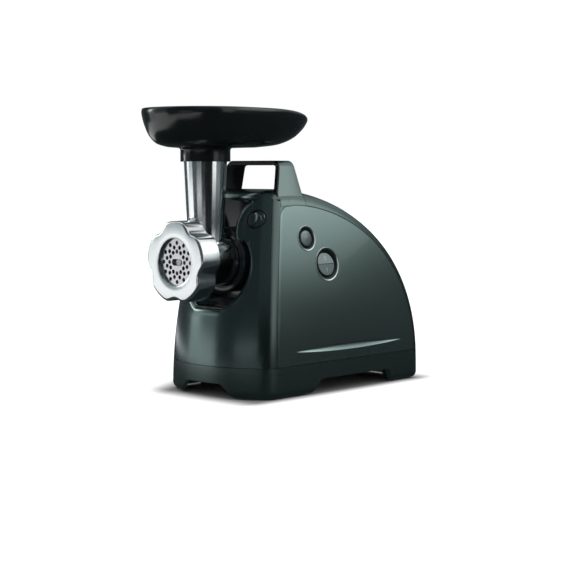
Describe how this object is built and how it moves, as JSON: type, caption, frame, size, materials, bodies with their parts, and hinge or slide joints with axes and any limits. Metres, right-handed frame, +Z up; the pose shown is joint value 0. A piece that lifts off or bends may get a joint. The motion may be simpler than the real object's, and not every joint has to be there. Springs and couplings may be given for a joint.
{
  "type": "electric meat grinder",
  "caption": "Table-top electric meat grinder: tapered motor housing with a carrying handle, a grinding head with ring nut and perforated plate, and a feed tray.",
  "frame": {"origin": "on the standing surface under the middle of the body, in the plane of symmetry of its shell", "axes": "+Z up, the meat outlet and the ring nut face -Y, the rocker and the reverse button are on the +X side"},
  "size_m": [0.1714, 0.3683, 0.337],
  "materials": {
    "side_shell": "satin metallic anthracite with a green-grey cast",
    "dark_shell": "satin dark grey-green plastic",
    "gloss_black": "polished black plastic",
    "black_plastic": "fine-grained black plastic",
    "rubber": "matt rubber",
    "head_metal": "polished cast aluminium",
    "nut_metal": "bright satin aluminium",
    "cast_aluminium": "tumbled cast aluminium",
    "steel": "ground steel",
    "copper": "lacquered copper",
    "bronze": "sintered bronze and brass",
    "nylon": "natural nylon",
    "board": "circuit board"
  },
  "bodies": {
    "housing": {"base": "dark_shell", "bottom_plate": "black_plastic", "foot_1": "rubber", "foot_2": "rubber", "foot_3": "rubber", "foot_4": "rubber", "front_cover": "gloss_black", "left_column": "dark_shell", "right_column": "dark_shell", "crown_cap": "dark_shell", "spine_cover": "dark_shell", "left_side_panel": "side_shell", "right_side_panel": "side_shell", "handle": "dark_shell", "handle_lining": "gloss_black", "head_recess": "gloss_black", "power_bezel": "black_plastic", "reverse_bezel": "black_plastic", "lock_bezel": "black_plastic", "power_switch": "black_plastic", "reverse_switch": "black_plastic", "filter_board": "board", "gearbox_housing": "black_plastic", "gearbox_cover": "black_plastic", "output_bush": "bronze", "layshaft_pin_1": "steel", "layshaft_pin_2": "steel", "motor_core": "steel", "upper_coil": "copper", "lower_coil": "copper", "front_bracket": "black_plastic", "rear_bracket": "black_plastic", "front_bearing": "steel", "rear_bearing": "steel", "left_brush_holder": "bronze", "right_brush_holder": "bronze", "cord_gland": "black_plastic"},
    "armature": {"armature_shaft": "steel", "armature_core": "copper", "commutator": "copper", "cooling_fan": "nylon"},
    "layshaft_1": {"first_wheel": "nylon"},
    "layshaft_2": {"second_wheel": "nylon"},
    "output": {"output_wheel": "nylon", "drive_shaft": "steel", "auger": "cast_aluminium", "knife": "steel"},
    "head": {"grinding_head": "head_metal"},
    "plate": {"perforated_plate": "steel"},
    "nut": {"ring_nut": "nut_metal"},
    "tray": {"feed_tray": "gloss_black"},
    "lock": {"lock_button": "black_plastic", "lock_latch": "steel", "lock_spring": "steel"},
    "reverse": {"reverse_button": "black_plastic", "reverse_spring": "steel"},
    "rocker": {"power_rocker": "black_plastic"}
  },
  "joints": [
    {"name": "armature_spin", "type": "hinge", "parent": "housing", "child": "armature", "pos_m": [-0.00003, 0, 0.07842], "axis": [0, 1, 0], "continuous": true},
    {"name": "layshaft_1_spin", "type": "hinge", "parent": "housing", "child": "layshaft_1", "pos_m": [-0.00134, 0, 0.10339], "axis": [0, 1, 0], "continuous": true},
    {"name": "layshaft_2_spin", "type": "hinge", "parent": "housing", "child": "layshaft_2", "pos_m": [0.01875, 0, 0.12732], "axis": [0, 1, 0], "continuous": true},
    {"name": "output_spin", "type": "hinge", "parent": "housing", "child": "output", "pos_m": [0, 0, 0.1598], "axis": [0, 1, 0], "continuous": true},
    {"name": "head_twist", "type": "hinge", "parent": "housing", "child": "head", "pos_m": [0, -0.156, 0.1598], "axis": [0, 1, 0], "range_deg": [0, 45]},
    {"name": "plate_slide", "type": "slide", "parent": "head", "child": "plate", "axis": [0, -1, 0], "range_m": [0, 0.00601]},
    {"name": "nut_turn", "type": "hinge", "parent": "plate", "child": "nut", "pos_m": [0, -0.1913, 0.1598], "axis": [0, -1, 0], "range_deg": [0, 540]},
    {"name": "tray_lift", "type": "slide", "parent": "head", "child": "tray", "axis": [0, 0, 1], "range_m": [0, 0.12]},
    {"name": "lock_press", "type": "slide", "parent": "housing", "child": "lock", "axis": [0, 1, 0], "range_m": [0, 0.003], "stiffness_N_per_m": 600, "springref_m": -0.002, "deforming": ["lock_spring"]},
    {"name": "reverse_press", "type": "slide", "parent": "housing", "child": "reverse", "axis": [-0.985, 0, -0.1727], "range_m": [0, 0.0025], "stiffness_N_per_m": 500, "springref_m": -0.002, "deforming": ["reverse_spring"]},
    {"name": "rocker_tilt", "type": "hinge", "parent": "housing", "child": "rocker", "pos_m": [0.06924, -0.0264, 0.15232], "axis": [0, 1, 0], "range_deg": [0, 12]}
  ],
  "couplings": [
    {"joint": "layshaft_1_spin", "follows": "armature_spin", "ratio": -0.25},
    {"joint": "layshaft_2_spin", "follows": "armature_spin", "ratio": 0.0625},
    {"joint": "output_spin", "follows": "armature_spin", "ratio": -0.015625},
    {"joint": "plate_slide", "follows": "nut_turn", "m_per_rad": 0.00063662}
  ]
}
